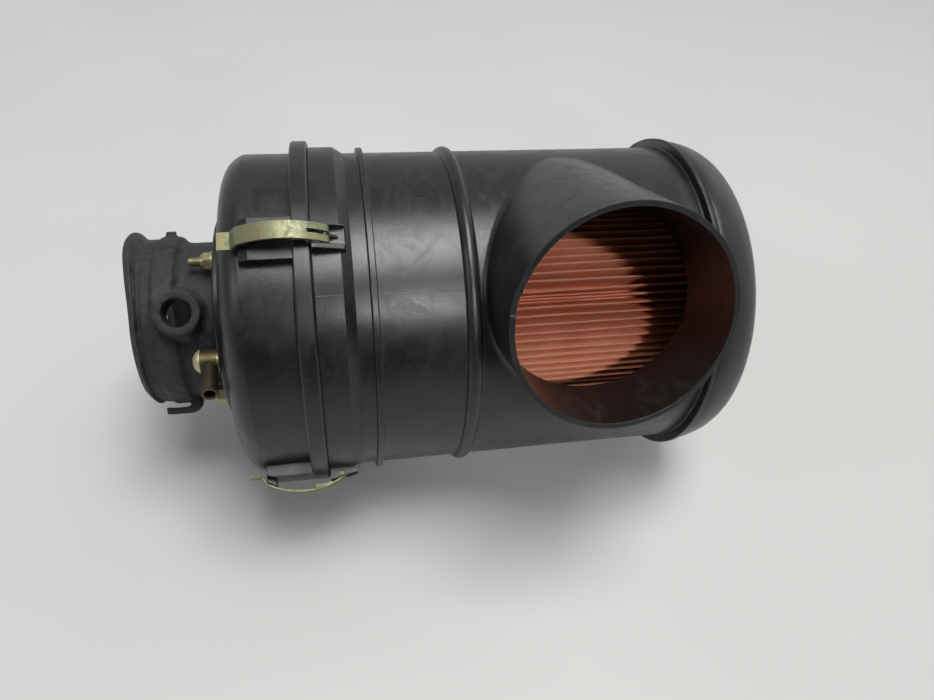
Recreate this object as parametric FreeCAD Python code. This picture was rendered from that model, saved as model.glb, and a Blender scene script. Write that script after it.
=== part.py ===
"""Dry-type intake air cleaner: horizontal canister, latched cover, pleated element.

Frame: +X along the canister's axis from the outlet neck to the closed end, +Z up as the
canister lies on its rims, -Y towards the side that the inlet port faces.  The origin is
on the axis, in the middle of the seat for a mounting band.  Millimetres and degrees.

Angles around the axis are counted from -Y (0) over +Z (90) to +Y (180).
A feature is built at the top of the canister, where its radial direction is +Z and its
tangential direction is Y, and is then turned to its own angle.
"""
import FreeCAD, Part
import math
import os

V = FreeCAD.Vector
ORIGIN = V(0, 0, 0)
AXIS_X = V(1, 0, 0)
AXIS_Y = V(0, 1, 0)
AXIS_Z = V(0, 0, 1)
RUN_GAP = 0.35            # clearance between pieces that move past each other

# --- housing -------------------------------------------------------------------------
BODY_R = 105.0            # outside of the plain wall
WALL = 3.0
BORE_R = BODY_R - WALL
JOINT_X = -58.5           # where the cover's rim meets the body
SPIGOT_LENGTH = 8.0       # the body wall reaches this far into the cover's rim
COLLAR_R = 109.0          # thick band beside the joint, which carries the keepers
COLLAR_END_X = -43.0
COLLAR_CHAMFER = 6.0
RIB_R = 108.4             # thin stiffening rib
RIB_X = (-28.5, -24.3)
BEAD_R = 108.3            # rounded stiffening bead
BEAD_X = (24.5, 33.5)
RIM_R = 113.0             # cover's rim
FLANGE_R = 111.1          # narrow ring at the closed end
FLANGE_LEFT_X = 177.8
FLANGE_X = 181.4          # weld face between the body and the end dome
DOME_END_X = 221.0
DOME_START_R = 109.0
DOME_OUTSIDE = [(186.5, 109.2), (192.0, 108.2), (197.5, 106.4), (202.0, 104.2), (207.5, 99.8),
                (211.5, 94.0), (216.6, 82.5), (219.6, 68.0), (220.8, 56.0), (DOME_END_X, 46.0)]
DOME_INSIDE = [(217.6, 57.0), (216.5, 67.5), (213.6, 80.5), (209.0, 91.0), (205.3, 96.5),
               (200.0, 100.7), (195.0, 102.0)]
FOOT_WIDTH = 26.0         # low moulded foot under each of the two rings
FOOT_Z = -114.6
FOOT_RIM_X = (-68.0, -60.0)
FOOT_FLANGE_X = (174.4, 181.4)

# --- inlet port ----------------------------------------------------------------------
PORT_ANGLE = 25.5
PORT_X = 100.5
PORT_OFFSET = 39.5        # the port's axis passes the canister's axis at this distance
PORT_R = 63.5
PORT_ROOT_R = 64.5        # the tube widens with a slight draft behind the hose's seat
PORT_SEAT_START = 116.0
PORT_BORE_R = 60.4
PORT_MOUTH = 147.0        # mouth plane, measured along the port from the canister's axis
PORT_FILLET = 4.0
NOTCH_DEPTH = 1.4
NOTCH_WIDTH = 14.0

# --- latches -------------------------------------------------------------------------
LATCH_ANGLES = (67.5, 157.5, 247.5, 337.5)
STRIP_WIDTH = 10.4
STRIP_T = 1.1
BOW_X = -74.2             # the strip is an arc about this point of the latch's mid plane
BOW_Z = 74.3
BOW_R = 47.4
BOW_HALF = 29.4           # the arc's half angle at the claw end
EYE_ANGLE = 31.0          # where the arc runs into the hinge eye
EYE_R = 2.8
PIN_R = 1.5
PIN_CLEARANCE = 0.08
SLOT_WIDTH = 2.4
SLOT_LENGTH = 9.0
FIN_T = 1.6
CLAW_TIP = (-100.4, 109.9)
THUMB_TIP = (-107.6, 109.6)
HINGE_X = BOW_X + (BOW_R - EYE_R) * math.sin(math.radians(EYE_ANGLE))
HINGE_Z = BOW_Z + (BOW_R - EYE_R) * math.cos(math.radians(EYE_ANGLE))
KEEPER_SIDES = (-8.5, 6.6)
KEEPER_FLOOR = 109.3      # bottom of the channel that the strip's hinge end lies in
KEEPER_CREST = 116.0      # the wedge's high end, beside the cover's rim
KEEPER_TOE = 112.2
LEAF_SPAN = (8.0, 15.0, 21.0)

# --- cover ---------------------------------------------------------------------------
COVER_R = 105.4
COVER_BORE_R = 101.0
RIM_WIDTH = 10.5
RIM_GAP = 0.3
SOCKET_R = 107.6
SHOULDER_X = -98.2
FACE_X = -110.8
FACE_R = 84.0
LAND_R = 63.5
LAND_X = -114.2
COVER_FLOOR_X = -107.8
PAD_WIDTH = 25.0
PAD_TOP = 112.0
PAD_LEFT_X = -96.8
PAD_LEFT_TOP = 110.3
PAD_RAMP_END_X = -91.8
TUBE_R = 49.4             # outside of the spigot that the element seals on
TUBE_BORE_R = 45.0        # air passage through the cover and its spigot
TUBE_END_X = -84.0

# --- outlet neck and its hardware ------------------------------------------------------
GASKET_T = 0.8
NECK_BASE_X = LAND_X - GASKET_T
RING_R = 66.6             # clamp ring that holds the neck's foot
RING_T = 3.0
RING_X = NECK_BASE_X - RING_T
FOOT_R = 54.6
FOOT_T = 1.5
NECK_R = 50.5
NECK_BORE_R = 46.5        # seat for the pipe that the neck is clamped on
BAND_X = (-155.6, -142.0)
BAND_R = 55.0
CLAMP_SEAT_R = 53.6
LIP_X = -171.0
LIP_R = 58.8
NECK_END_X = -176.0
BOSS_ANGLE = 50.0
BOSS_X = -139.0
BOSS_R = 13.5
BOSS_BASE_R = 17.0
BOSS_TOP = 64.0
BOSS_BORE_R = 8.6
LUG_ANGLE = 130.0         # small lug on the band
LUG_X = (-152.5, -147.0)
LUG_WIDTH = 7.0
LUG_HEIGHT = 3.2
TAB_ANGLE = -38.0         # hook that keeps a hose clamp in place
TAB_WIDTH = 12.0
TAB_ROOT_X = (-145.0, -139.0)
TAB_TIP_X = -161.0
TAB_RADII = (57.8, 62.0)
STUD_CIRCLE_R = 59.0
STUD_ANGLES = (81.5, 171.5, 261.5, 351.5)
STUD_R = 3.0
STUD_X = (-132.6, -110.5)
STUD_CLEARANCE = 0.25
NUT_AF = 10.0
NUT_T = 6.0
NUT_CROWN = 1.8           # round collar of the locking insert
WASHER_R = 6.0
WASHER_T = 1.4
FITTING_ANGLE = 20.5
FITTING_TUBE_ANGLE = 4.0
FITTING_TUBE_LEAN = 4.0
FITTING_R = 7.1
FITTING_BODY_LENGTH = 9.6
FITTING_HEAD_T = 4.8
FITTING_BORE_R = 2.9
HOSE_TUBE_R = 4.75
HOSE_TUBE_BORE_R = 3.3
HOSE_TUBE_LENGTH = 27.0
HOSE_COLLAR_R = 5.2
HOSE_COLLAR_END = 8.6

# --- filter element --------------------------------------------------------------------
PLEATS = 86
PLEAT_OUTER_R = 75.0
PLEAT_INNER_R = 52.0
PAPER_T = 1.1
LINER_R = 51.4
LINER_T = 0.8
LINER_HOLE_R = 2.6
LINER_ROWS = 12
LINER_COLUMNS = 10
CAP_R = 79.0
OPEN_CAP_X = (-104.0, -91.0)
CLOSED_CAP_X = (182.0, 190.5)
LOCATOR_R = 20.0
LOCATOR_LENGTH = 9.0
SEAL_T = 4.0


# --- helpers ---------------------------------------------------------------------------
def outline(start, *steps):
    """Closed face in the XZ plane.

    A step is a point, or (point on the arc, end), or a list of points on a smooth curve.
    """
    edges = []
    here = V(start[0], 0, start[1])
    for step in steps + (start,):
        if isinstance(step, list):
            path = [here] + [V(x, 0, z) for x, z in step]
            end = path[-1]
            curve = Part.BSplineCurve()
            curve.interpolate(path)
            edges.append(curve.toShape())
        elif isinstance(step[0], tuple):
            middle, end = (V(p[0], 0, p[1]) for p in step)
            edges.append(Part.Arc(here, middle, end).toShape())
        else:
            end = V(step[0], 0, step[1])
            if end.distanceToPoint(here) < 1e-6:
                continue
            edges.append(Part.LineSegment(here, end).toShape())
        here = end
    return Part.Face(Part.Wire(edges))


def spun(start, *steps):
    """Solid of revolution about the canister's axis, from (x, radius) points."""
    return outline(start, *steps).revolve(ORIGIN, AXIS_X, 360)


def ring(x0, x1, inner, outer):
    """Plain ring about the canister's axis."""
    return spun((x0, inner), (x0, outer), (x1, outer), (x1, inner))


def rod(x0, x1, radius, z=0.0):
    """Cylinder along X at height z."""
    return Part.makeCylinder(radius, x1 - x0, V(x0, 0, z), AXIS_X)


def box(x0, x1, width, z0, z1, y=0.0):
    """Box centred on y, from x0 to x1 and z0 to z1."""
    return Part.makeBox(x1 - x0, width, z1 - z0, V(x0, y - width / 2, z0))


def plate(width, start, *steps):
    """Outline in the XZ plane, given a width along Y."""
    face = outline(start, *steps)
    face.translate(V(0, -width / 2, 0))
    return face.extrude(V(0, width, 0))


def turned(shape, angle):
    """Copy of a shape built at the top, moved round the axis to an angle."""
    copy = shape.copy()
    copy.rotate(ORIGIN, AXIS_X, 90 - angle)
    return copy


def fused(shape, *others):
    return shape.fuse(list(others)).removeSplitter()


def ribbon(points, thickness):
    """Mitred strip outline of even thickness that follows points in the XZ plane."""
    def side(sign):
        path = []
        for i, (x, z) in enumerate(points):
            before = points[max(i - 1, 0)]
            after = points[min(i + 1, len(points) - 1)]
            a = math.atan2(z - before[1], x - before[0]) if i else None
            b = math.atan2(after[1] - z, after[0] - x) if i < len(points) - 1 else a
            a = b if a is None else a
            reach = sign * thickness / 2 / math.cos((b - a) / 2)
            normal = (a + b) / 2 + math.pi / 2
            path.append((x + reach * math.cos(normal), z + reach * math.sin(normal)))
        return path
    return side(1) + side(-1)[::-1]


def save(name, shape):
    solids = shape.Solids
    if len(solids) == 1:
        shape = solids[0]
    shape.exportStep("parts/" + name + ".step")
    print("%-16s solids %d  valid %s  volume %.0f mm3"
          % (name, len(solids), shape.isValid(), shape.Volume))


# --- housing ---------------------------------------------------------------------------
def port_cylinder(radius, start, end):
    """Cylinder on the inlet port's axis, between two distances from the canister's axis."""
    return Part.makeCylinder(radius, end - start, V(PORT_X, PORT_OFFSET, start), AXIS_Z)


def across_keeper(radius, margin):
    """Cylinder on the hinge's axis that stops short of the keeper's sides by a margin."""
    start, end = KEEPER_SIDES[0] + margin, KEEPER_SIDES[1] - margin
    return Part.makeCylinder(radius, end - start, V(HINGE_X, start, HINGE_Z), AXIS_Y)


def keeper():
    """Moulded wedge on the collar: two cheeks and a fin that hold a latch's hinge pin."""
    left = JOINT_X + RIM_GAP
    right = COLLAR_END_X + 3
    wedge = plate(KEEPER_SIDES[1] - KEEPER_SIDES[0], (left, COLLAR_R - 2), (left, KEEPER_CREST),
                  (left + 1.5, KEEPER_CREST), (right - 0.8, KEEPER_TOE), (right, COLLAR_R - 2))
    wedge.translate(V(0, sum(KEEPER_SIDES) / 2, 0))
    channel = box(left - 1, right + 1, STRIP_WIDTH + 2 * RUN_GAP, KEEPER_FLOOR, KEEPER_CREST + 1)
    fin = plate(FIN_T, (HINGE_X - 3.0, COLLAR_R - 2), (HINGE_X - 2.4, HINGE_Z),
                ((HINGE_X, HINGE_Z + 2.4), (HINGE_X + 2.4, HINGE_Z)),
                (COLLAR_END_X - 1, KEEPER_FLOOR + 0.6), (COLLAR_END_X - 1, COLLAR_R - 2))
    return fused(wedge.cut(channel), fin).cut(across_keeper(PIN_R, 0))


def body_shell():
    wall = spun(
        (JOINT_X - SPIGOT_LENGTH, BORE_R), (JOINT_X - SPIGOT_LENGTH, BODY_R - 1),
        (JOINT_X - SPIGOT_LENGTH + 1, BODY_R), (JOINT_X, BODY_R), (JOINT_X, COLLAR_R),
        (COLLAR_END_X, COLLAR_R), (COLLAR_END_X + COLLAR_CHAMFER, BODY_R),
        (RIB_X[0], BODY_R), (RIB_X[0] + 0.5, RIB_R), (RIB_X[1] - 0.5, RIB_R),
        (RIB_X[1], BODY_R), (BEAD_X[0], BODY_R),
        ((sum(BEAD_X) / 2, BEAD_R), (BEAD_X[1], BODY_R)),
        (FLANGE_LEFT_X - 1, BODY_R),
        ((FLANGE_LEFT_X - 0.3, BODY_R + 0.3), (FLANGE_LEFT_X, BODY_R + 1)),
        (FLANGE_LEFT_X, FLANGE_R - 0.8),
        ((FLANGE_LEFT_X + 0.25, FLANGE_R - 0.25), (FLANGE_LEFT_X + 0.8, FLANGE_R)),
        (FLANGE_X - 0.8, FLANGE_R), (FLANGE_X, FLANGE_R - 1.4), (FLANGE_X, BORE_R))
    inside = rod(JOINT_X, FLANGE_X, BORE_R)
    port = Part.makeCone(PORT_ROOT_R, PORT_R, PORT_SEAT_START, V(PORT_X, PORT_OFFSET, 0), AXIS_Z)
    port = port.cut(inside)
    port = turned(port.cut(box(0, FLANGE_X, 4 * BODY_R, -BODY_R, 1)), PORT_ANGLE)
    shell = filleted_port(fused(wall, port))
    seat = port_cylinder(PORT_R, PORT_SEAT_START, PORT_MOUTH)
    shell = fused(shell, turned(seat, PORT_ANGLE))
    shell = shell.cut(turned(port_cylinder(PORT_BORE_R, 1, PORT_MOUTH + 1), PORT_ANGLE))
    notch = box(PORT_X - PORT_R - 1, PORT_X - PORT_R + 6, NOTCH_WIDTH,
                PORT_MOUTH - NOTCH_DEPTH, PORT_MOUTH + 1, y=PORT_OFFSET + NOTCH_WIDTH)
    shell = shell.cut(turned(notch, PORT_ANGLE))
    foot = box(*FOOT_FLANGE_X, FOOT_WIDTH, FOOT_Z, 1 - BODY_R)
    return fused(shell, foot, *(turned(keeper(), angle) for angle in LATCH_ANGLES))


def body_halves():
    """The moulding in two nodes, split at the bead's foot, so that each is a simple shape."""
    whole = body_shell()
    reach = 4 * BODY_R
    front = whole.common(box(-reach, BEAD_X[0], reach, -reach, reach))
    rear = whole.common(box(BEAD_X[0], reach, reach, -reach, reach))
    return front, rear


def filleted_port(shell):
    """Rounds the corner where the port leaves the wall, where the corner is sharp enough."""
    down = turned(Part.Vertex(0, 0, 1), PORT_ANGLE).Point
    side = turned(Part.Vertex(0, 1, 0), PORT_ANGLE).Point
    corner = []
    for edge in shell.Edges:
        middle = edge.valueAt((edge.FirstParameter + edge.LastParameter) / 2)
        radius = math.hypot(middle.y, middle.z)
        x, across = middle.x - PORT_X, middle.dot(side) - PORT_OFFSET
        on_port = PORT_R < math.hypot(x, across) < PORT_ROOT_R
        if on_port and abs(radius - BODY_R) < 0.2 and middle.dot(down) > 0:
            corner.append(edge)
    try:
        rounded = shell.makeFillet(PORT_FILLET, corner)
        if rounded.isValid():
            return rounded
    except Part.OCCError:
        pass
    print("port corner left sharp")
    return shell


def end_dome():
    inner_x = DOME_END_X - WALL
    shell = spun(
        (FLANGE_X, BORE_R), (FLANGE_X, DOME_START_R - 1.2), (FLANGE_X + 0.8, DOME_START_R - 1.2),
        (FLANGE_X + 1.2, DOME_START_R), DOME_OUTSIDE, (DOME_END_X, 0),
        (inner_x, 0), (inner_x, DOME_OUTSIDE[-1][1]), DOME_INSIDE)
    locator = ring(CLOSED_CAP_X[1] + 1.5, inner_x, LOCATOR_R + 0.6, LOCATOR_R + 3.6)
    return fused(shell, locator)


def hinge_pin():
    return across_keeper(PIN_R, 0.5)


# --- latches -----------------------------------------------------------------------------
def bow_point(radius, angle):
    """Point of the strip's arc, at an angle from the vertical towards the hinge."""
    turn = math.radians(angle)
    return (BOW_X + radius * math.sin(turn), BOW_Z + radius * math.cos(turn))


def hinge_slot():
    """Room in the strip and the leaf for the keeper's fin."""
    return box(HINGE_X - SLOT_LENGTH, HINGE_X + 5, SLOT_WIDTH, HINGE_Z - 6, HINGE_Z + 12)


def latch_strip():
    """Bowed spring strip: hinge eye, arc, claw and thumb tab."""
    inner = BOW_R - STRIP_T
    middle = BOW_R - STRIP_T / 2
    bow = plate(STRIP_WIDTH, bow_point(inner, -BOW_HALF),
                (bow_point(inner, 0), bow_point(inner, EYE_ANGLE)),
                bow_point(BOW_R, EYE_ANGLE),
                (bow_point(BOW_R, 0), bow_point(BOW_R, -BOW_HALF)))
    points = [bow_point(middle, -BOW_HALF + 1), bow_point(middle, -BOW_HALF),
              CLAW_TIP, THUMB_TIP]
    claw = plate(STRIP_WIDTH, *ribbon(points, STRIP_T))
    eye = Part.makeCylinder(EYE_R, STRIP_WIDTH, V(HINGE_X, -STRIP_WIDTH / 2, HINGE_Z), AXIS_Y)
    hole = Part.makeCylinder(PIN_R + PIN_CLEARANCE, STRIP_WIDTH + 2,
                             V(HINGE_X, -STRIP_WIDTH / 2 - 1, HINGE_Z), AXIS_Y)
    return fused(bow, claw, eye).cut(hole).cut(hinge_slot())


def latch_leaf():
    """Short inner leaf that stiffens the strip beside its hinge."""
    outer = BOW_R - STRIP_T
    first, middle, last = LEAF_SPAN
    leaf = plate(STRIP_WIDTH - 1, bow_point(outer, first),
                 (bow_point(outer, middle), bow_point(outer, last)),
                 bow_point(outer - 0.9, last),
                 (bow_point(outer - 1.3, middle), bow_point(outer - 2.6, first)))
    return leaf.cut(hinge_slot())


# --- cover -------------------------------------------------------------------------------
def latch_pad():
    """Raised seat under a latch; its ramped left end is the lug that the claw hooks on."""
    rim = JOINT_X - RIM_WIDTH
    right = rim + 2
    return plate(PAD_WIDTH, (PAD_LEFT_X, COVER_R - 2.5), (PAD_LEFT_X, PAD_LEFT_TOP),
                 (PAD_RAMP_END_X, PAD_TOP), (right, PAD_TOP), (right, SOCKET_R + 1.5),
                 (rim - 0.2, SOCKET_R + 1.5), (rim - 0.2, COVER_R - 2.5))


def stud_place(shape, angle):
    """Moves a piece built on the X axis out to the stud circle."""
    copy = shape.copy()
    copy.translate(V(0, 0, STUD_CIRCLE_R))
    return turned(copy, angle)


def cover_shell():
    rim_left = JOINT_X - RIM_WIDTH
    rim_right = JOINT_X - RIM_GAP
    shell = spun(
        (rim_right, SOCKET_R), (rim_right, RIM_R - 1), (rim_right - 1, RIM_R),
        (rim_left + 1, RIM_R), (rim_left, RIM_R - 1), (rim_left, COVER_R), (SHOULDER_X, COVER_R),
        ((SHOULDER_X - 9.2, COVER_R - 6.6), (FACE_X, FACE_R)),
        (FACE_X, LAND_R + 2), (LAND_X, LAND_R), (LAND_X, TUBE_BORE_R),
        (TUBE_END_X, TUBE_BORE_R), (TUBE_END_X, TUBE_R - 0.8), (TUBE_END_X - 2, TUBE_R),
        (COVER_FLOOR_X, TUBE_R), (COVER_FLOOR_X, FACE_R - 1),
        ((SHOULDER_X - 6.4, COVER_BORE_R - 6), (SHOULDER_X, COVER_BORE_R)),
        (rim_left + 1, COVER_BORE_R), (rim_left + 1, SOCKET_R))
    pads = [turned(latch_pad(), angle) for angle in LATCH_ANGLES]
    foot = box(*FOOT_RIM_X, FOOT_WIDTH, FOOT_Z, 2 - RIM_R)
    shell = fused(shell, foot, *pads)
    for angle in STUD_ANGLES:
        shell = shell.cut(stud_place(rod(LAND_X - 1, STUD_X[1], STUD_R), angle))
    passage = rod(LAND_X - 1, COVER_FLOOR_X + 1, FITTING_BORE_R)
    return shell.cut(stud_place(passage, FITTING_ANGLE))


def cover_seal():
    left = JOINT_X - RIM_WIDTH + 1
    return ring(left, left + 1.1, BORE_R - 0.5, SOCKET_R)


# --- outlet neck and its hardware ----------------------------------------------------------
def stud_holes(left, right, shape):
    """Clears the four studs and the fitting's passage from a shape."""
    for angle in STUD_ANGLES:
        shape = shape.cut(stud_place(rod(left, right, STUD_R + STUD_CLEARANCE), angle))
    return shape.cut(stud_place(rod(left, right, FITTING_BORE_R), FITTING_ANGLE))


def clamp_tab():
    """Hook that stands on the neck behind its band and reaches over the clamp's seat."""
    left, right = TAB_ROOT_X
    low, high = TAB_RADII
    return plate(TAB_WIDTH, (right, NECK_R - 1), (right, NECK_R + 4),
                 ((right - 3, high - 1.6), (right - 9, high)), (TAB_TIP_X, high),
                 (TAB_TIP_X, low), (left - 2.5, low), (left, low - 1.3), (left, NECK_R - 1))


def outlet_neck():
    foot_x = NECK_BASE_X - FOOT_T
    tube = spun(
        (NECK_BASE_X, NECK_BORE_R), (NECK_BASE_X, FOOT_R), (foot_x, FOOT_R), (foot_x, NECK_R),
        (BAND_X[1] + 4, NECK_R), ((BAND_X[1] + 1.2, NECK_R + 1.3), (BAND_X[1] - 1, BAND_R - 0.6)),
        (BAND_X[1] - 4, BAND_R), (BAND_X[0] + 1, BAND_R), (BAND_X[0], CLAMP_SEAT_R),
        (LIP_X + 6, CLAMP_SEAT_R), ((LIP_X + 3.4, LIP_R - 3.2), (LIP_X + 1, LIP_R - 0.6)),
        ((LIP_X - 0.4, LIP_R), (LIP_X - 2, LIP_R - 1)),
        ((NECK_END_X + 0.7, LIP_R - 3.4), (NECK_END_X, LIP_R - 6)),
        (NECK_END_X, LIP_R - 7.4), (NECK_END_X + 8, NECK_BORE_R))
    cone = Part.makeCone(BOSS_BASE_R, BOSS_R, 7, V(BOSS_X, 0, NECK_R - 3), AXIS_Z)
    boss = fused(cone, Part.makeCylinder(BOSS_R, BOSS_TOP - NECK_R, V(BOSS_X, 0, NECK_R), AXIS_Z))
    boss = boss.cut(rod(BOSS_X - 30, BOSS_X + 30, NECK_BORE_R + 0.5))
    lug = box(*LUG_X, LUG_WIDTH, BAND_R - 2, BAND_R + LUG_HEIGHT)
    tab = turned(clamp_tab(), TAB_ANGLE)
    neck = fused(tube, turned(boss, BOSS_ANGLE), turned(lug, LUG_ANGLE), tab)
    bore = Part.makeCylinder(BOSS_BORE_R, BOSS_TOP, V(BOSS_X, 0, 20), AXIS_Z)
    return neck.cut(turned(bore, BOSS_ANGLE))


def neck_ring():
    """Clamp ring over the neck's foot, held by the four studs."""
    foot_x = NECK_BASE_X - FOOT_T
    plain = spun((NECK_BASE_X, FOOT_R + 0.2), (NECK_BASE_X, RING_R), (RING_X + 0.8, RING_R),
                 (RING_X, RING_R - 0.8), (RING_X, NECK_R + 0.2), (foot_x, NECK_R + 0.2),
                 (foot_x, FOOT_R + 0.2))
    return stud_holes(RING_X - 1, NECK_BASE_X + 1, plain)


def neck_gasket():
    sheet = ring(NECK_BASE_X, LAND_X, NECK_BORE_R + 0.5, LAND_R)
    return stud_holes(NECK_BASE_X - 1, LAND_X + 1, sheet)


def stud():
    tip = STUD_X[0]
    shank = rod(tip + 0.8, STUD_X[1], STUD_R)
    return fused(shank, Part.makeCone(STUD_R - 0.7, STUD_R, 0.8, V(tip, 0, 0), AXIS_X))


def washer():
    hole = rod(RING_X - 2, RING_X + 1, STUD_R + 0.15)
    return rod(RING_X - WASHER_T, RING_X, WASHER_R).cut(hole)


def nut():
    """Hexagon nut with the round collar of a locking insert."""
    right = RING_X - WASHER_T
    corner_r = NUT_AF / math.sqrt(3)
    turns = [math.radians(60 * i) for i in range(7)]
    corners = [V(right, corner_r * math.cos(a), corner_r * math.sin(a)) for a in turns]
    hexagon = Part.Face(Part.makePolygon(corners)).extrude(V(NUT_CROWN - NUT_T, 0, 0))
    crown = Part.makeCone(NUT_AF / 2 - 0.9, NUT_AF / 2 - 0.1, NUT_CROWN, V(right - NUT_T, 0, 0), AXIS_X)
    return fused(hexagon, crown).cut(rod(right - 8, right + 1, STUD_R))


def fitting_washer():
    hole = rod(RING_X - 2, RING_X + 1, FITTING_BORE_R)
    return rod(RING_X - WASHER_T, RING_X, FITTING_R - 0.6).cut(hole)


def fitting_body():
    right = RING_X - WASHER_T
    left = right - FITTING_BODY_LENGTH
    return rod(left, right, FITTING_R).cut(rod(left + 3, right + 1, FITTING_BORE_R))


def fitting_head():
    """Domed cap on the fitting's free end."""
    right = RING_X - WASHER_T - FITTING_BODY_LENGTH
    left = right - FITTING_HEAD_T
    return spun((left, 0), ((left + 1.3, FITTING_R - 2.3), (right - 0.8, FITTING_R)),
                (right, FITTING_R), (right, 0))


def hose_tube():
    """Tube with a low collar at its root, built along +Z from the fitting body's axis."""
    r = HOSE_TUBE_R
    end = HOSE_TUBE_LENGTH
    profile = [V(0, 0, 0), V(HOSE_COLLAR_R, 0, 0), V(HOSE_COLLAR_R, 0, HOSE_COLLAR_END),
               V(r, 0, HOSE_COLLAR_END), V(r, 0, end), V(0, 0, end), V(0, 0, 0)]
    tube = Part.Face(Part.makePolygon(profile)).revolve(ORIGIN, AXIS_Z, 360)
    return tube.cut(Part.makeCylinder(HOSE_TUBE_BORE_R, end + 1, V(0, 0, 0), AXIS_Z))


def fitting_tube():
    """The tube on its fitting, pointing sideways and leaning a little towards the cover."""
    centre_x = RING_X - WASHER_T - FITTING_BODY_LENGTH / 2
    tube = hose_tube()
    tube.rotate(ORIGIN, AXIS_Y, FITTING_TUBE_LEAN)
    tube.rotate(ORIGIN, AXIS_X, FITTING_ANGLE - FITTING_TUBE_ANGLE)
    tube.translate(V(centre_x, 0, 0))
    return tube.cut(rod(centre_x - 20, centre_x + 20, FITTING_R))


# --- filter element --------------------------------------------------------------------------
def pleat_pack():
    """Paper folded into a ring of pleats, with flat folds at the tips."""
    step = 2 * math.pi / PLEATS
    half_tip = PAPER_T / 2 / PLEAT_OUTER_R
    half_root = PAPER_T / 2 / PLEAT_INNER_R

    def corner(radius, turn):
        return V(OPEN_CAP_X[1], radius * math.cos(turn), radius * math.sin(turn))

    outer, inner = [], []
    for i in range(PLEATS):
        turn = i * step
        outer += [corner(PLEAT_OUTER_R, turn - half_tip), corner(PLEAT_OUTER_R, turn + half_tip),
                  corner(PLEAT_INNER_R + PAPER_T, turn + step / 2 - half_root / 3),
                  corner(PLEAT_INNER_R + PAPER_T, turn + step / 2 + half_root / 3)]
        inner += [corner(PLEAT_OUTER_R - PAPER_T * 2.2, turn),
                  corner(PLEAT_INNER_R, turn + step / 2 - half_root),
                  corner(PLEAT_INNER_R, turn + step / 2 + half_root)]
    faces = [Part.Face(Part.makePolygon(points + points[:1])) for points in (outer, inner)]
    return faces[0].cut(faces[1]).extrude(V(CLOSED_CAP_X[0] - OPEN_CAP_X[1], 0, 0))


def inner_liner():
    """Perforated steel tube inside the pleats."""
    x0, x1 = OPEN_CAP_X[1], CLOSED_CAP_X[0]
    tube = ring(x0, x1, LINER_R - LINER_T, LINER_R)
    pitch = (x1 - x0) / (LINER_COLUMNS + 1)
    drills = []
    for i in range(LINER_COLUMNS):
        for j in range(LINER_ROWS // 2):
            drill = Part.makeCylinder(LINER_HOLE_R, 2 * LINER_R + 10,
                                      V(x0 + (i + 1) * pitch, 0, -LINER_R - 5), AXIS_Z)
            drill.rotate(ORIGIN, AXIS_X, (j + 0.5 * (i % 2)) * 360 / LINER_ROWS)
            drills.append(drill)
    return tube.cut(drills)


def end_cap_open():
    x0, x1 = OPEN_CAP_X
    seat_r = TUBE_R + RUN_GAP + SEAL_T
    bore_r = LINER_R - LINER_T - 0.8
    return spun((x0, seat_r), (x0, CAP_R - 2), ((x0 + 0.6, CAP_R - 0.6), (x0 + 2, CAP_R)),
                (x1 + 6, CAP_R), (x1 + 6, CAP_R - 2), (x1, CAP_R - 2), (x1, bore_r),
                (x0 + 5, bore_r), (x0 + 5, seat_r))


def element_seal():
    """Soft ring in the open end cap that closes on the cover's outlet spigot."""
    x0 = OPEN_CAP_X[0]
    inner = TUBE_R + RUN_GAP
    return spun((x0 - 1.5, inner + 1.5), ((x0 - 2, inner + 2.3), (x0 - 1.5, inner + SEAL_T)),
                (x0 + 5, inner + SEAL_T), (x0 + 5, inner), (x0, inner))


def end_cap_closed():
    x0, x1 = CLOSED_CAP_X
    cap = spun((x0, 0), (x0, CAP_R - 2), (x0 - 6, CAP_R - 2), (x0 - 6, CAP_R), (x1 - 2, CAP_R),
               ((x1 - 0.6, CAP_R - 0.6), (x1, CAP_R - 2)), (x1, 0))
    return fused(cap, rod(x1, x1 + LOCATOR_LENGTH, LOCATOR_R))


# --- assembly ----------------------------------------------------------------------------------
def main():
    os.makedirs("parts", exist_ok=True)
    for name, half in zip(("body_shell", "port_shell"), body_halves()):
        save(name, half)
    save("end_dome", end_dome())
    for number, angle in enumerate(LATCH_ANGLES, 1):
        save("hinge_pin_%d" % number, turned(hinge_pin(), angle))
        save("latch_strip_%d" % number, turned(latch_strip(), angle))
        save("latch_leaf_%d" % number, turned(latch_leaf(), angle))

    save("cover_shell", cover_shell())
    save("cover_seal", cover_seal())
    save("outlet_neck", outlet_neck())
    save("neck_ring", neck_ring())
    save("neck_gasket", neck_gasket())
    for number, angle in enumerate(STUD_ANGLES, 1):
        save("stud_%d" % number, stud_place(stud(), angle))
        save("washer_%d" % number, stud_place(washer(), angle))
        save("nut_%d" % number, stud_place(nut(), angle))
    for make in (fitting_body, fitting_head, fitting_washer, fitting_tube):
        save(make.__name__, stud_place(make(), FITTING_ANGLE))

    save("pleat_pack", pleat_pack())
    save("inner_liner", inner_liner())
    save("end_cap_open", end_cap_open())
    save("element_seal", element_seal())
    save("end_cap_closed", end_cap_closed())


main()
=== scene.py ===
"""Looks of an intake air cleaner: camera, light, materials, and the pieces finer than the CAD."""
import math
import random

import bmesh
import bpy
from mathutils import Matrix, Vector, noise


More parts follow.
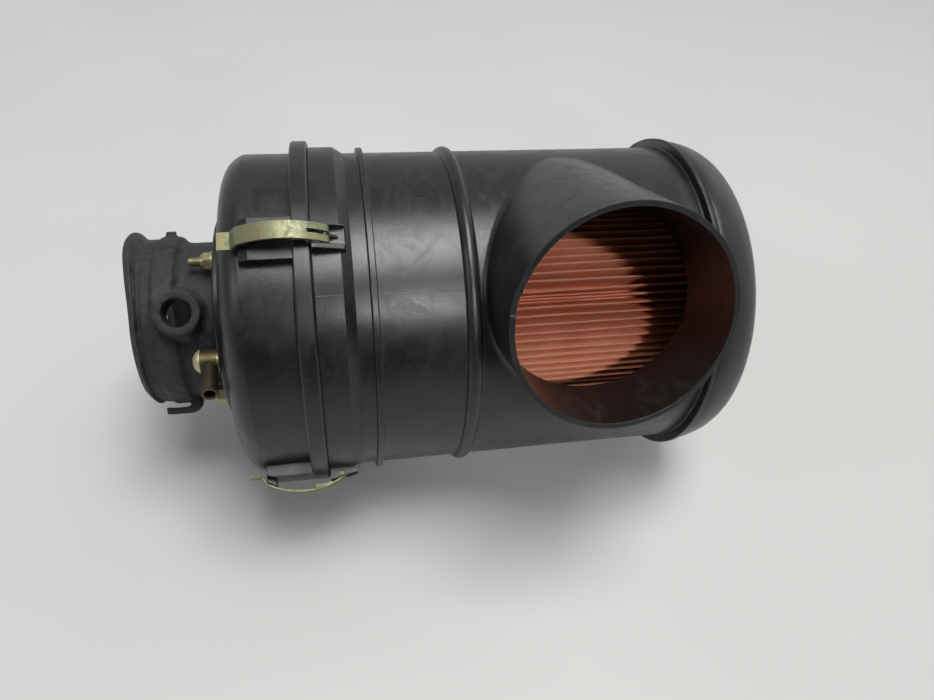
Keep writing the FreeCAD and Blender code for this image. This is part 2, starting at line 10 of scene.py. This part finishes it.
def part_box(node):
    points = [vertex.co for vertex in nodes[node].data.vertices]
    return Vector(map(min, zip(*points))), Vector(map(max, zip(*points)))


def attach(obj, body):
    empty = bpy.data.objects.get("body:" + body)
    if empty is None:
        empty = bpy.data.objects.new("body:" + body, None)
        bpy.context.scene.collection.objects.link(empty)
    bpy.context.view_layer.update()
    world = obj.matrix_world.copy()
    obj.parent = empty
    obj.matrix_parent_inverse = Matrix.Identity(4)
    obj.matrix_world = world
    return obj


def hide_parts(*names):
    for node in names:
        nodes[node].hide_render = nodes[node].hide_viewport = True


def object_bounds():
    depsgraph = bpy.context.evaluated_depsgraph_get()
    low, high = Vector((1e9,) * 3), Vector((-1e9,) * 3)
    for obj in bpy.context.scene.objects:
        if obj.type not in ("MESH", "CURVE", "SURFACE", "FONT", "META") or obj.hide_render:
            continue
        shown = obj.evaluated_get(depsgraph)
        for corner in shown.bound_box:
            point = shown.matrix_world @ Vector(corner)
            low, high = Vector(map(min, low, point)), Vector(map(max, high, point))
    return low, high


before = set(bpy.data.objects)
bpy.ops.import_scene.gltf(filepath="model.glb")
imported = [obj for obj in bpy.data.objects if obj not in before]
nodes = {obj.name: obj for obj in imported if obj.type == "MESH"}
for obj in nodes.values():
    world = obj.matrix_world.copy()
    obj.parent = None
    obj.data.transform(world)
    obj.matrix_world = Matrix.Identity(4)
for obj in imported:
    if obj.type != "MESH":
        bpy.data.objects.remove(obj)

cad_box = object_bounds()
scene = bpy.context.scene
scene.view_settings.view_transform = "Standard"

# ---------------------------------------------------------------- camera, floor and light

SENSOR = 36.0
LENS = 26.98
EYE_ELEVATION = math.radians(46)
EYE_RADIUS = 0.4936
EYE_X = -0.04775
YAW, PITCH, ROLL = -0.18110, -0.06636, -0.05846

camera_data = bpy.data.cameras.new("camera")
camera_data.sensor_width = SENSOR
camera_data.lens = LENS
camera_data.clip_start = 0.01
camera = bpy.data.objects.new("camera", camera_data)
scene.collection.objects.link(camera)
camera.matrix_world = (
    Matrix.Translation((EYE_X, -EYE_RADIUS * math.cos(EYE_ELEVATION), EYE_RADIUS * math.sin(EYE_ELEVATION)))
    @ Matrix.Rotation(math.pi / 2 - EYE_ELEVATION, 4, "X")
    @ Matrix.Rotation(YAW, 4, "Y")
    @ Matrix.Rotation(PITCH, 4, "X")
    @ Matrix.Rotation(ROLL, 4, "Z")
)
scene.camera = camera


def add_light(data, place, aim, power):
    """Hangs a lamp at a place and points it at another."""
    data.energy = power
    light = bpy.data.objects.new(data.name, data)
    light.location = place
    light.rotation_euler = (Vector(aim) - Vector(place)).to_track_quat("-Z", "Y").to_euler()
    scene.collection.objects.link(light)


def area_light(name, place, aim, size, power, colour):
    data = bpy.data.lights.new(name, "AREA")
    data.shape = "RECTANGLE"
    data.size, data.size_y = size
    data.color = colour
    add_light(data, place, aim, power)


def spot_light(name, place, aim, angle, power, radius):
    """Lamp with a cone of an angle in degrees, soft all the way to its rim."""
    data = bpy.data.lights.new(name, "SPOT")
    data.spot_size = math.radians(angle)
    data.spot_blend = 1.0
    data.shadow_soft_size = radius
    add_light(data, place, aim, power)


area_light("overhead", (0.27, -0.14, 2.6), (0.02, 0.0, 0.0), (1.5, 1.0), 51.0, (1.0, 0.995, 0.97))
area_light("window", (-1.65, -0.30, 1.15), (0.0, 0.0, 0.0), (0.5, 0.9), 4.0, (0.93, 0.97, 1.0))
spot_light("port", (0.42, -1.76, 1.84), (0.105, -0.10, 0.08), 4.9, 390.0, 0.16)


WORLD_COLOUR = (0.98, 1.0, 0.99, 1)
WORLD_RAMPS = (("Y", -0.75, 0.06, 0.42), ("X", 0.25, 0.0, 0.45))    # axis, start, low and high strength
WORLD_RAMP_END = 0.75


def studio_world():
    """Soft room light: pale behind and to the right, darker on the side of the camera."""
    world = bpy.data.worlds.new("studio")
    world.use_nodes = True
    tree = world.node_tree
    coords = tree.nodes.new("ShaderNodeTexCoord")
    parts = tree.nodes.new("ShaderNodeSeparateXYZ")
    tree.links.new(coords.outputs["Generated"], parts.inputs[0])
    total = tree.nodes.new("ShaderNodeMath")
    for slot, (axis, start, low, high) in enumerate(WORLD_RAMPS):
        ramp = tree.nodes.new("ShaderNodeMapRange")
        ramp.interpolation_type = "SMOOTHSTEP"
        limits = {"From Min": start, "From Max": WORLD_RAMP_END, "To Min": low, "To Max": high}
        for name, value in limits.items():
            ramp.inputs[name].default_value = value
        tree.links.new(parts.outputs[axis], ramp.inputs["Value"])
        tree.links.new(ramp.outputs["Result"], total.inputs[slot])
    background = tree.nodes["Background"]
    background.inputs["Color"].default_value = WORLD_COLOUR
    tree.links.new(total.outputs[0], background.inputs["Strength"])
    scene.world = world


studio_world()


# ---------------------------------------------------------------- materials

def rgba(colour):
    return (*colour, 1.0)


class Graph:
    """One material's node tree. Lengths are metres in the object's own frame."""

    def __init__(self, name, roughness=0.5, metallic=0.0):
        self.material = bpy.data.materials.new(name)
        self.material.use_nodes = True
        self.tree = self.material.node_tree
        self.shader = self.tree.nodes["Principled BSDF"]
        self.shader.inputs["Roughness"].default_value = roughness
        self.shader.inputs["Metallic"].default_value = metallic
        self.point = self.tree.nodes.new("ShaderNodeTexCoord").outputs["Object"]

    def node(self, kind, **settings):
        made = self.tree.nodes.new("ShaderNode" + kind)
        for name, value in settings.items():
            setattr(made, name, value)
        return made

    def put(self, socket, value):
        """Links a socket, or sets a number or colour."""
        if isinstance(value, bpy.types.NodeSocket):
            self.tree.links.new(value, socket)
        elif isinstance(value, tuple) and socket.type == "RGBA":
            socket.default_value = rgba(value)
        else:
            socket.default_value = value

    def math(self, operation, a, b=0.0, clamp=False):
        made = self.node("Math", operation=operation, use_clamp=clamp)
        self.put(made.inputs[0], a)
        self.put(made.inputs[1], b)
        return made.outputs[0]

    def stretched(self, scale, shift=(0.0, 0.0, 0.0)):
        mapping = self.node("Mapping")
        mapping.inputs["Scale"].default_value = scale
        mapping.inputs["Location"].default_value = shift
        self.put(mapping.inputs["Vector"], self.point)
        return mapping.outputs["Vector"]

    def noise(self, size, detail=3.0, rough=0.55, twist=0.0, stretch=None, shift=(0.0, 0.0, 0.0)):
        """Noise from 0 to 1 whose features are about size across."""
        made = self.node("TexNoise")
        made.inputs["Scale"].default_value = 1.0 / size
        made.inputs["Detail"].default_value = detail
        made.inputs["Roughness"].default_value = rough
        made.inputs["Distortion"].default_value = twist
        self.put(made.inputs["Vector"], self.stretched(stretch or (1, 1, 1), shift))
        return made.outputs["Fac"]

    def between(self, value, low, high, out_low=0.0, out_high=1.0):
        made = self.node("MapRange", interpolation_type="SMOOTHSTEP")
        self.put(made.inputs["Value"], value)
        limits = {"From Min": low, "From Max": high, "To Min": out_low, "To Max": out_high}
        for name, number in limits.items():
            made.inputs[name].default_value = number
        return made.outputs["Result"]

    def mix(self, factor, a, b):
        made = self.node("Mix", data_type="RGBA")
        self.put(made.inputs[0], factor)
        self.put(made.inputs[6], a)
        self.put(made.inputs[7], b)
        return made.outputs[2]

    def edges(self, radius):
        """1 within about radius of a sharp edge, 0 on the flat."""
        bevel = self.node("Bevel", samples=4)
        bevel.inputs["Radius"].default_value = radius
        flat = self.node("NewGeometry")
        product = self.node("VectorMath", operation="DOT_PRODUCT")
        self.put(product.inputs[0], bevel.outputs[0])
        self.put(product.inputs[1], flat.outputs["Normal"])
        return self.between(product.outputs["Value"], 0.995, 0.86)

    def facing_up(self, low=0.2, high=0.9):
        parts = self.node("SeparateXYZ")
        self.put(parts.inputs[0], self.node("NewGeometry").outputs["Normal"])
        return self.between(parts.outputs["Z"], low, high)

    def bump(self, height, depth, normal=None):
        made = self.node("Bump")
        made.inputs["Distance"].default_value = depth
        self.put(made.inputs["Height"], height)
        if normal is not None:
            self.put(made.inputs["Normal"], normal)
        return made.outputs["Normal"]

    def rounded(self, radius):
        """Shading normal of slightly rounded edges."""
        bevel = self.node("Bevel", samples=4)
        bevel.inputs["Radius"].default_value = radius
        return bevel.outputs[0]

    def finish(self, colour, roughness=None, normal=None):
        self.put(self.shader.inputs["Base Color"], colour)
        if roughness is not None:
            self.put(self.shader.inputs["Roughness"], roughness)
        if normal is not None:
            self.put(self.shader.inputs["Normal"], normal)
        return self.material


def housing_plastic():
    g = Graph("housing_plastic")
    g.shader.inputs["IOR"].default_value = 1.56
    broad = g.noise(0.070, 4, 0.6, 0.6)
    smear = g.noise(0.016, 5, 0.65, 1.5, (1.0, 0.5, 0.5))
    hand = g.between(g.noise(0.030, 5, 0.7, 2.2, shift=(4.0, 1.0, 7.0)), 0.50, 0.68)
    grain = g.noise(0.0007, 2, 0.5)
    speck = g.between(g.noise(0.0020, 2, 0.5), 0.71, 0.77)
    scratch = g.between(g.noise(0.004, 2, 0.5, 0.4, (0.12, 1.6, 1.6), (2.0, 0.0, 0.0)), 0.735, 0.76)
    base = g.mix(broad, (0.0042, 0.0045, 0.0050), (0.0080, 0.0082, 0.0088))
    dusty = g.math("MULTIPLY", g.between(smear, 0.45, 0.75), g.facing_up(0.0, 0.9))
    base = g.mix(g.math("MULTIPLY", dusty, 0.30), base, (0.050, 0.051, 0.050))
    base = g.mix(g.math("MULTIPLY", speck, 0.22), base, (0.13, 0.13, 0.12))
    base = g.mix(g.math("MULTIPLY", scratch, 0.16), base, (0.12, 0.12, 0.12))
    # Lighter along sharp edges: partly rubbed wear, partly a painted highlight along the edges.
    base = g.mix(g.math("MULTIPLY", g.edges(0.0012), 0.40), base, (0.050, 0.052, 0.055))
    rough = g.math("ADD", g.between(broad, 0.3, 0.7, 0.28, 0.34), g.between(smear, 0.4, 0.8, 0.0, 0.10))
    rough = g.math("ADD", rough, g.math("MULTIPLY", hand, 0.09))
    uneven = g.math("ADD", grain, g.math("MULTIPLY", g.noise(0.045, 2, 0.5), 9.0))
    return g.finish(base, rough, g.bump(uneven, 0.00007, g.rounded(0.0007)))


def neck_rubber():
    g = Graph("neck_rubber")
    broad = g.noise(0.030, 5, 0.65, 1.2)
    smudge = g.between(g.noise(0.014, 4, 0.6, 2.0, shift=(3.0, 1.0, 2.0)), 0.46, 0.66)
    speck = g.between(g.noise(0.0016, 3, 0.6), 0.60, 0.74)
    base = g.mix(g.between(broad, 0.30, 0.70), (0.009, 0.0105, 0.014), (0.032, 0.034, 0.039))
    base = g.mix(g.math("MULTIPLY", smudge, 0.50), base, (0.058, 0.058, 0.060))
    base = g.mix(g.math("MULTIPLY", speck, 0.28), base, (0.13, 0.125, 0.115))
    # Lighter along sharp edges: partly scuffed rubber, partly a painted highlight on the lip and band
    # edges.
    base = g.mix(g.math("MULTIPLY", g.edges(0.0010), 0.65), base, (0.16, 0.16, 0.155))
    rough = g.between(broad, 0.3, 0.7, 0.55, 0.78)
    uneven = g.math("ADD", g.noise(0.006, 3, 0.6), g.math("MULTIPLY", g.noise(0.0009, 2, 0.5), 0.25))
    return g.finish(base, rough, g.bump(uneven, 0.0004, g.rounded(0.0010)))


def moulded_rubber(name, dark, light, roughness):
    g = Graph(name)
    broad = g.noise(0.012, 4, 0.6, 0.8)
    grain = g.noise(0.0008, 3, 0.6)
    base = g.mix(g.between(broad, 0.3, 0.7), dark, light)
    base = g.mix(g.math("MULTIPLY", g.edges(0.0006), 0.4), base, tuple(2.2 * c for c in light))
    rough = g.between(broad, 0.3, 0.7, roughness - 0.08, roughness + 0.08)
    return g.finish(base, rough, g.bump(grain, 0.0001))


def plated(name, main, warm, cool, roughness, metallic=0.85, tarnish=0.35):
    """Yellow-passivated zinc: two tints that drift over the surface, dulled spots and bright worn edges."""
    g = Graph(name, metallic=metallic)
    drift = g.noise(0.009, 3, 0.55, 1.5)
    patch = g.noise(0.004, 4, 0.6, 0.8, shift=(5.0, 2.0, 1.0))
    fine = g.noise(0.0006, 3, 0.6)
    base = g.mix(g.between(drift, 0.35, 0.50), warm, main)
    base = g.mix(g.between(drift, 0.52, 0.68), base, cool)
    dull = g.math("MULTIPLY", g.between(patch, 0.52, 0.72), tarnish)
    base = g.mix(dull, base, tuple(0.35 * c for c in main))
    base = g.mix(g.between(fine, 0.40, 0.62, 0.0, 0.35), base, tuple(0.5 * c for c in main))
    bright = tuple(min(1.0, 1.25 * c) for c in main)
    base = g.mix(g.math("MULTIPLY", g.edges(0.0005), 0.6), base, bright)
    rough = g.between(patch, 0.3, 0.7, roughness - 0.08, roughness + 0.12)
    rough = g.math("ADD", rough, g.math("MULTIPLY", fine, 0.08))
    return g.finish(base, rough, g.bump(fine, 0.00004, g.rounded(0.0003)))


def filter_paper():
    g = Graph("filter_paper", roughness=0.9)
    fibre = g.noise(0.0016, 5, 0.7, 0.5, (0.35, 1.0, 1.0))
    cloud = g.noise(0.030, 3, 0.6, 0.4)
    dust = g.between(g.noise(0.010, 4, 0.6, 1.0, (0.3, 1.0, 1.0)), 0.52, 0.75)
    base = g.mix(g.between(cloud, 0.3, 0.7), (0.70, 0.235, 0.120), (0.80, 0.315, 0.185))
    base = g.mix(g.between(fibre, 0.35, 0.75, 0.0, 0.35), base, (0.88, 0.46, 0.31))
    base = g.mix(g.math("MULTIPLY", dust, 0.30), base, (0.50, 0.25, 0.17))
    return g.finish(base, g.between(fibre, 0.2, 0.8, 0.80, 0.95), g.bump(fibre, 0.00015))


def liner_steel():
    """Galvanised sheet with round perforations, drawn in unrolled cylinder coordinates."""
    g = Graph("liner_steel", metallic=0.8)
    parts = g.node("SeparateXYZ")
    g.put(parts.inputs[0], g.point)
    around = g.math("MULTIPLY", g.math("ARCTAN2", parts.outputs["Z"], parts.outputs["Y"]), 0.050)
    joined = g.node("CombineXYZ")
    g.put(joined.inputs[0], parts.outputs["X"])
    g.put(joined.inputs[1], around)
    cells = g.node("TexVoronoi", voronoi_dimensions="2D")
    cells.inputs["Scale"].default_value = 1 / 0.006
    cells.inputs["Randomness"].default_value = 0.0
    g.put(cells.inputs["Vector"], joined.outputs[0])
    hole = g.between(cells.outputs["Distance"], 0.34, 0.30)
    spangle = g.noise(0.008, 2, 0.5)
    sheet = g.mix(g.between(spangle, 0.35, 0.65), (0.42, 0.43, 0.44), (0.62, 0.63, 0.64))
    # The perforations are not cut: each is painted a dark paper brown, the painted shade of the pleats seen
    # through it.
    base = g.mix(hole, sheet, (0.16, 0.055, 0.030))
    return g.finish(base, g.between(spangle, 0.3, 0.7, 0.35, 0.55), g.bump(hole, -0.0004))


# main, warm and cool tint, roughness, and where they differ from the usual, metallic and tarnish
METALS = {
    "latch_zinc": ((0.27, 0.27, 0.165), (0.29, 0.26, 0.13), (0.23, 0.25, 0.17), 0.46),
    "fastener_zinc": ((0.42, 0.38, 0.22), (0.44, 0.36, 0.19), (0.36, 0.35, 0.22), 0.34),
    "fitting_zinc": ((0.62, 0.58, 0.38), (0.64, 0.55, 0.36), (0.56, 0.55, 0.38), 0.42, 0.6, 0.15),
    "olive_finish_and_pin_shade": ((0.17, 0.14, 0.065), (0.20, 0.14, 0.07), (0.13, 0.12, 0.06), 0.38),
    "fitting_tube_metal": ((0.10, 0.085, 0.055), (0.13, 0.09, 0.055), (0.08, 0.08, 0.05), 0.42),
}

MATERIALS = {
    "housing_plastic": housing_plastic(),
    "neck_rubber": neck_rubber(),
    "seal_rubber": moulded_rubber("seal_rubber", (0.012, 0.012, 0.012), (0.028, 0.028, 0.028), 0.75),
    "cap_rubber": moulded_rubber("cap_rubber", (0.026, 0.026, 0.028), (0.050, 0.050, 0.054), 0.70),
    "filter_paper": filter_paper(),
    "liner_steel": liner_steel(),
    **{name: plated(name, *settings) for name, settings in METALS.items()},
}

SLOT_OF = {
    "body_shell": "housing_plastic",
    "port_shell": "housing_plastic",
    "neck_ring": "housing_plastic",
    "end_dome": "housing_plastic",
    "cover_shell": "housing_plastic",
    "outlet_neck": "neck_rubber",
    "cover_seal": "seal_rubber",
    "neck_gasket": "seal_rubber",
    "end_cap_open": "cap_rubber",
    "end_cap_closed": "cap_rubber",
    "element_seal": "cap_rubber",
    "pleat_pack": "filter_paper",
    "inner_liner": "liner_steel",
    "fitting_body": "olive_finish_and_pin_shade",
    "fitting_head": "fitting_zinc",
    "fitting_washer": "fastener_zinc",
    "fitting_tube": "fitting_tube_metal",
}
PLATED_SETS = {
    "latch": "latch_zinc",
    # Hinge pins take the dark olive finish as painted shade, so that they look dark inside the strip's
    # slot.
    "hinge_pin": "olive_finish_and_pin_shade",
    "stud": "fastener_zinc",
    "washer": "fastener_zinc",
    "nut": "fastener_zinc",
}
for start, slot_name in PLATED_SETS.items():
    for name in nodes:
        if name.startswith(start):
            SLOT_OF[name] = slot_name

for name, obj in nodes.items():
    obj.data.materials.clear()
    obj.data.materials.append(MATERIALS[SLOT_OF[name]])


# ---------------------------------------------------------------- pieces finer than the CAD

def on_axis(x, radius, angle):
    """Point at an angle counted round the canister's axis from -Y over +Z."""
    return Vector((x, -radius * math.cos(angle), radius * math.sin(angle)))


def piece(name, mesh, body, slot_name, *replaced):
    """Adds a finished mesh as a smooth piece that rides on a body and stands for CAD nodes."""
    welded = bmesh.new()
    welded.from_mesh(mesh)
    bmesh.ops.remove_doubles(welded, verts=welded.verts, dist=1e-7)
    welded.to_mesh(mesh)
    welded.free()
    mesh.materials.clear()
    mesh.materials.append(MATERIALS[slot_name])
    mesh.shade_smooth()
    obj = bpy.data.objects.new(name, mesh)
    scene.collection.objects.link(obj)
    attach(obj, body)
    if replaced:
        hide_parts(*replaced)
    return obj


def grid_mesh(name, rows, closed):
    """Quads between rows of points; closed joins the end of each row to its start."""
    width = len(rows[0])
    faces = []
    for i in range(len(rows) - 1):
        for j in range(width if closed else width - 1):
            k = (j + 1) % width
            faces.append((i * width + j, i * width + k, (i + 1) * width + k, (i + 1) * width + j))
    mesh = bpy.data.meshes.new(name)
    mesh.from_pydata([point for row in rows for point in row], [], faces)
    return mesh


def smoothstep(value, low, high):
    t = min(max((value - low) / (high - low), 0.0), 1.0)
    return t * t * (3 - 2 * t)


PLEATS = 86
TIP_R = 0.0750
ROOT_R = 0.0524
TIP_RADIUS = 0.00072
TIP_ARC = [math.radians(a) for a in (-90, -55, -20, 20, 55, 90)]
FLANK_R = 0.064
FLANK_HALF = 0.0011        # half a fold's thickness at mid height
FLANK_SHARE = 0.55         # how far mid height follows the tip sideways
FOOT_RISE = 0.0007
FOOT_HALF = 0.0004
STATIONS = 44


def pleats():
    """Thin folded paper whose folds wander a little along their length."""
    low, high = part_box("pleat_pack")
    step = 2 * math.pi / PLEATS
    dice = random.Random(7)
    lean = [dice.gauss(0, 0.00034) for _ in range(PLEATS)]
    sink = [abs(dice.gauss(0, 0.00055)) for _ in range(PLEATS)]
    phase = [dice.uniform(0, 6.28) for _ in range(PLEATS)]
    wave = [dice.uniform(0.00010, 0.00042) for _ in range(PLEATS)]
    rows = []
    for i in range(STATIONS):
        t = i / (STATIONS - 1)
        x = low.x + (high.x - low.x) * t
        free = smoothstep(t, 0.0, 0.08) * smoothstep(1 - t, 0.0, 0.08)
        row = []
        for k in range(PLEATS):
            sway = wave[k] * math.sin(phase[k] + 9.0 * t)
            shift = free * (lean[k] + sway + 0.4 * wave[k] * math.sin(3 * phase[k] + 23.0 * t))
            top = TIP_R - TIP_RADIUS - free * sink[k] * (0.7 + 0.3 * math.sin(phase[k] + 5.0 * t))
            centre = k * step
            flank_r = (ROOT_R + top) / 2
            flank_shift = FLANK_SHARE * shift / FLANK_R
            row.append(on_axis(x, ROOT_R, centre - step / 2))
            row.append(on_axis(x, ROOT_R + FOOT_RISE, centre - step / 2 + FOOT_HALF / ROOT_R))
            row.append(on_axis(x, flank_r, centre - FLANK_HALF / FLANK_R + flank_shift))
            for a in TIP_ARC:
                sideways = TIP_RADIUS * math.sin(a) + shift
                row.append(on_axis(x, top + TIP_RADIUS * math.cos(a), centre + sideways / top))
            row.append(on_axis(x, flank_r, centre + FLANK_HALF / FLANK_R + flank_shift))
            row.append(on_axis(x, ROOT_R + FOOT_RISE, centre + step / 2 - FOOT_HALF / ROOT_R))
        rows.append(row)
    return piece("pleats", grid_mesh("pleats", rows, True), "element", "filter_paper", "pleat_pack")


VOXEL = 0.0008
LIP_FREE_ANGLE = math.radians(143)
LIP_PULL = 0.0077
LIP_CURL = (0.0033, 0.0023)
LIP_START, LIP_END = -0.158, -0.176
SEAT_R, LIP_R = 0.0465, 0.0588
SLACK_FROM, SLACK_TO = math.radians(15), math.radians(95)
FREE_START, FREE_END = -0.120, -0.130
PRESSED_R = 0.056         # outside this radius the skin only sinks, so that it stays under the ring


def rubber_wobble(point, size, depth, seed):
    return depth * noise.noise(point / size + Vector((seed, 2 * seed, 3 * seed)))


def worn_neck():
    """The rubber neck with softened edges, a slack lip and a slightly uneven skin."""
    source = bmesh.new()
    source.from_mesh(nodes["outlet_neck"].data)
    bmesh.ops.remove_doubles(source, verts=source.verts, dist=1e-6)
    mesh = bpy.data.meshes.new("neck")
    source.to_mesh(mesh)
    source.free()
    raw = bpy.data.objects.new("neck_raw", mesh)
    scene.collection.objects.link(raw)
    remesh = raw.modifiers.new("remesh", "REMESH")
    remesh.mode = "VOXEL"
    remesh.voxel_size = VOXEL
    soften = raw.modifiers.new("soften", "SMOOTH")
    soften.iterations = 3
    soften.factor = 0.5
    bpy.context.view_layer.update()
    soft = bpy.data.meshes.new_from_object(raw.evaluated_get(bpy.context.evaluated_depsgraph_get()))
    bpy.data.objects.remove(raw)
    for vertex in soft.vertices:
        co = vertex.co
        radius = math.hypot(co.y, co.z)
        angle = math.atan2(co.z, -co.y)
        away = abs((angle - LIP_FREE_ANGLE + math.pi) % (2 * math.pi) - math.pi)
        slack = smoothstep(away, SLACK_FROM, SLACK_TO) * smoothstep(co.x, LIP_START, LIP_END)
        under = smoothstep(math.degrees(angle), 40, -30)
        curl = (LIP_CURL[0] + LIP_CURL[1] * under) * slack * max(0.0, radius - SEAT_R) / (LIP_R - SEAT_R)
        free = smoothstep(co.x, FREE_START, FREE_END)
        wobble = rubber_wobble(co, 0.022, 0.00055, 3.0) + rubber_wobble(co, 0.007, 0.00022, 8.0)
        change = free * (min(wobble, 0.0) if radius > PRESSED_R else wobble) - curl
        scale = (radius + change) / radius
        vertex.co = Vector((co.x + LIP_PULL * slack, co.y * scale, co.z * scale))
    return piece("outlet_neck_rubber", soft, "cover", "neck_rubber", "outlet_neck")


THREAD_PITCH = 0.0010
THREAD_DEPTH = 0.00055
THREAD_STEPS = 8
THREAD_SIDES = 28
TIP_SHRINK = 0.28


def threaded_stud(number):
    """Stud with a real thread on the length that stands out of the ring."""
    low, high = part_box(f"stud_{number}")
    centre = (low + high) / 2
    outer = (high.y - low.y) / 2
    count = int((high.x - low.x) / THREAD_PITCH * THREAD_STEPS)
    around = THREAD_SIDES
    rows = []
    for i in range(count + 1):
        x = low.x + (high.x - low.x) * i / count
        taper = smoothstep(x, low.x - 0.0006, low.x + 0.0012)
        row = []
        for j in range(around):
            phase = (x / THREAD_PITCH + j / around) % 1.0
            crest = 1 - abs(2 * phase - 1)
            radius = (outer - THREAD_DEPTH * (1 - crest)) * (1 - TIP_SHRINK + TIP_SHRINK * taper)
            turn = 2 * math.pi * j / around
            row.append((x, centre.y + radius * math.cos(turn), centre.z + radius * math.sin(turn)))
        rows.append(row)
    cap = (low.x + 0.0001, centre.y, centre.z)
    rows.insert(0, [cap] * around)
    name = f"stud_thread_{number}"
    return piece(name, grid_mesh(name, rows, True), "cover", "fastener_zinc", f"stud_{number}")


RIDGE_WIDTH = 0.00034
RIDGE_HEIGHT = 0.00014
RIDGE_STEPS = 24


def parting_ridge(name, body, start, end, radius, angle):
    """Fine raised line that the mould's joint leaves on the wall."""
    rows = []
    for i in range(RIDGE_STEPS + 1):
        x = start + (end - start) * i / RIDGE_STEPS
        drift = 0.00012 * noise.noise(Vector((x * 160, angle, 0)))
        height = RIDGE_HEIGHT * (0.75 + 0.5 * noise.noise(Vector((x * 240, 5 + angle, 0))))
        row = []
        for across, up in ((-1, -0.3), (-0.45, 0.75), (0, 1), (0.45, 0.75), (1, -0.3)):
            row.append(on_axis(x, radius + up * height, angle + (across * RIDGE_WIDTH + drift) / radius))
        rows.append(row)
    return piece(name, grid_mesh(name, rows, False), body, "housing_plastic")


GATE_PROFILE = ((1.0, -0.05), (0.92, 0.16), (0.78, 0.17), (0.66, 0.02), (0.30, 0.01), (0.02, 0.01))
GATE_SIDES = 24


def gate_mark(name, body, x, radius, angle, size):
    """Small round dimple with a raised edge, where an ejector or gate met the wall."""
    out = on_axis(0, 1, angle)
    side = Vector((0, out.z, -out.y))
    centre = on_axis(x, radius, angle)
    rows = []
    for reach, up in GATE_PROFILE:
        row = []
        for j in range(GATE_SIDES):
            turn = 2 * math.pi * j / GATE_SIDES
            along = reach * math.cos(turn) * Vector((1, 0, 0))
            row.append(centre + size * (along + reach * math.sin(turn) * side + up * out))
        rows.append(row)
    return piece(name, grid_mesh(name, rows, True), body, "seal_rubber")


LATCH_ANGLES = (67.5, 157.5, 247.5, 337.5)
BOW_CENTRE = (-0.0742, 0.0743)
REST_R = 0.0459           # just inside the strip's arc
REST_X = (-0.0974, -0.0914)
REST_FOOT_R = 0.1085
REST_HALF_WIDTH = 0.0049
REST_CHAMFER = 0.0004
REST_INSET = REST_CHAMFER / 0.003
REST_RINGS = ((-1, 1.0), (-1, REST_INSET), (-1, 0.0), (1, 0.0), (1, REST_INSET), (1, 1.0))
REST_STEPS = 6


def claw_rest(number, angle):
    """Block on the end of a latch pad that fills the space under the strip's claw."""
    out = on_axis(0, 1, angle)
    side = Vector((0, out.z, -out.y))
    left, right = REST_X
    profile = [(right, REST_FOOT_R), (left, REST_FOOT_R)]
    for i in range(REST_STEPS + 1):
        x = left + (right - left) * i / REST_STEPS
        profile.append((x, BOW_CENTRE[1] + math.sqrt(REST_R ** 2 - (x - BOW_CENTRE[0]) ** 2)))
    middle_x, middle_r = (sum(values) / len(profile) for values in zip(*profile))
    rows = []
    for across, inset in REST_RINGS:
        width = across * (REST_HALF_WIDTH - (0.0 if 0 < inset else REST_CHAMFER))
        row = []
        for x, r in profile:
            place_x = x + (middle_x - x) * inset
            place_r = r + (middle_r - r) * inset
            row.append(Vector((place_x, 0, 0)) + place_r * out + width * side)
        rows.append(row)
    name = f"claw_rest_{number}"
    made = piece(name, grid_mesh(name, rows, True), "cover", "housing_plastic")
    made.data.set_sharp_from_angle(angle=math.radians(35))


pleats()
worn_neck()
for number, latch_angle in enumerate(LATCH_ANGLES, 1):
    threaded_stud(number)
    claw_rest(number, math.radians(latch_angle))

BODY_WALL_R = 0.105
COLLAR_WALL_R = 0.109
BODY_SEAT_X = (-0.0243, 0.0245)
COLLAR_X = (-0.0582, -0.0432)
PARTING_ANGLE = math.radians(50.3)
GATE_ANGLE = math.radians(138.5)
GATE_X = 0.0790
GATE_SIZE = 0.0017
for side, turn in (("front", PARTING_ANGLE), ("back", PARTING_ANGLE + math.pi)):
    parting_ridge(f"parting_line_{side}_body", "housing", *BODY_SEAT_X, BODY_WALL_R, turn)
    parting_ridge(f"parting_line_{side}_collar", "housing", *COLLAR_X, COLLAR_WALL_R, turn)
gate_mark("gate_mark_top", "housing", GATE_X, BODY_WALL_R, GATE_ANGLE, GATE_SIZE)

# ---------------------------------------------------------------- floor

def floor_material():
    g = Graph("floor")
    cloud = g.noise(0.25, 3, 0.5)
    mark = g.between(g.noise(0.012, 5, 0.7, 0.5), 0.66, 0.80)
    base = g.mix(cloud, (0.66, 0.67, 0.66), (0.72, 0.72, 0.71))
    base = g.mix(g.math("MULTIPLY", mark, 0.12), base, (0.45, 0.45, 0.43))
    return g.finish(base, g.between(cloud, 0.3, 0.7, 0.45, 0.60))


floor_mesh = bpy.data.meshes.new("floor")
floor_z = cad_box[0].z
HALF_FLOOR = 4.0
corners = [(x * HALF_FLOOR, y * HALF_FLOOR, floor_z) for x, y in ((-1, -1), (1, -1), (1, 1), (-1, 1))]
floor_mesh.from_pydata(corners, [], [(0, 1, 2, 3)])
floor_mesh.materials.append(floor_material())
floor = bpy.data.objects.new("floor", floor_mesh)
scene.collection.objects.link(floor)
